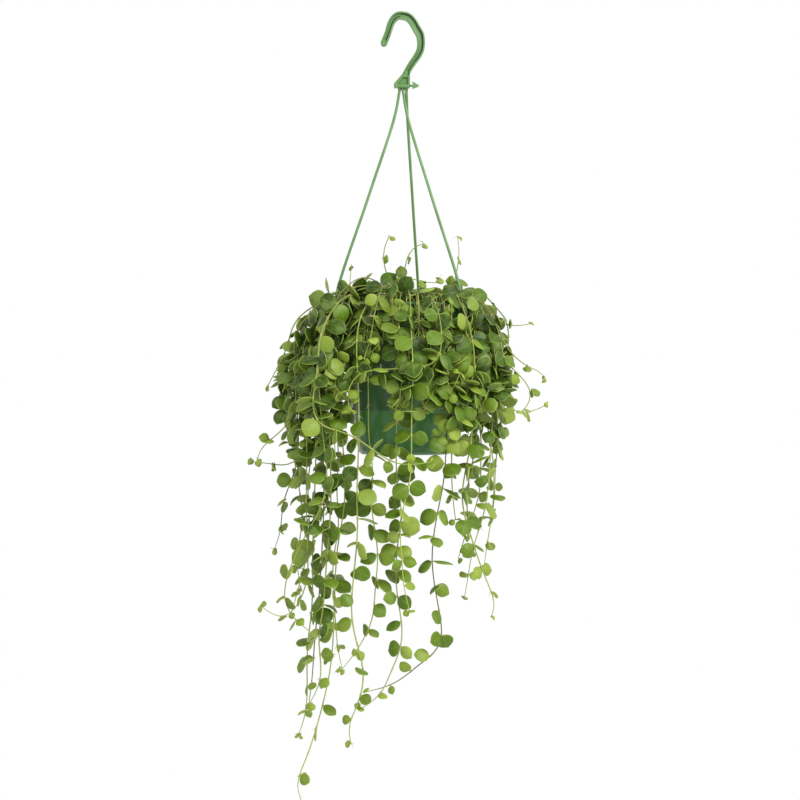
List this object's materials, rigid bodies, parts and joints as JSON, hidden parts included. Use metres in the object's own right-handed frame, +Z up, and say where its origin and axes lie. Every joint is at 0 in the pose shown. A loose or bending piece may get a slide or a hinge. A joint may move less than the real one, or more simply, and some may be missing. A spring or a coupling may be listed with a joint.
{
  "type": "potted string of nickels",
  "caption": "Trailing vine with round leaves in a tapered plastic pot, hung by a three-strand hanger with a hook.",
  "frame": {"origin": "the highest point inside the hook, where the hanger bears on what holds it", "axes": "+Z up along the hang line, +X to the right of the front view, -Y towards the viewer"},
  "size_m": [0.319, 0.2496, 0.837],
  "materials": {
    "pot_plastic": "smooth glossy, dark green",
    "hanger_plastic": "smooth satin, mid green",
    "soil": "crumbly dark potting mix",
    "vine": "smooth waxy green leaves on thin pale stems"
  },
  "bodies": {
    "root": {"hanger_strand_left": "hanger_plastic", "hanger_strand_right": "hanger_plastic", "hanger_strand_back": "hanger_plastic", "pot": "pot_plastic", "soil": "soil", "crown_vine_01": "vine", "crown_vine_02": "vine", "crown_vine_03": "vine", "crown_vine_04": "vine", "crown_vine_05": "vine", "runner_vine_01": "vine", "runner_vine_02": "vine", "runner_vine_03": "vine", "runner_vine_04": "vine", "runner_vine_05": "vine", "runner_vine_06": "vine", "runner_vine_07": "vine", "runner_vine_08": "vine", "trail_vine_01": "vine", "trail_vine_02": "vine", "trail_vine_03": "vine", "trail_vine_04": "vine", "trail_vine_05": "vine", "trail_vine_06": "vine", "trail_vine_07": "vine", "trail_vine_08": "vine", "trail_vine_09": "vine", "trail_vine_10": "vine", "trail_vine_11": "vine", "trail_vine_12": "vine", "trail_vine_13": "vine", "trail_vine_14": "vine", "trail_vine_15": "vine", "trail_vine_16": "vine", "trail_vine_17": "vine", "trail_vine_18": "vine", "trail_vine_19": "vine", "trail_vine_20": "vine", "trail_vine_21": "vine", "back_vine_01": "vine", "back_vine_02": "vine", "back_vine_03": "vine", "back_vine_04": "vine", "skirt_vine_01": "vine", "skirt_vine_02": "vine", "skirt_vine_03": "vine", "skirt_vine_04": "vine", "skirt_vine_05": "vine", "skirt_vine_06": "vine", "skirt_vine_07": "vine", "skirt_vine_08": "vine", "skirt_vine_09": "vine", "skirt_vine_10": "vine", "skirt_vine_11": "vine", "skirt_vine_12": "vine", "skirt_vine_13": "vine", "skirt_vine_14": "vine", "skirt_vine_15": "vine", "skirt_vine_16": "vine", "hanger_hook": "hanger_plastic"}
  },
  "joints": []
}
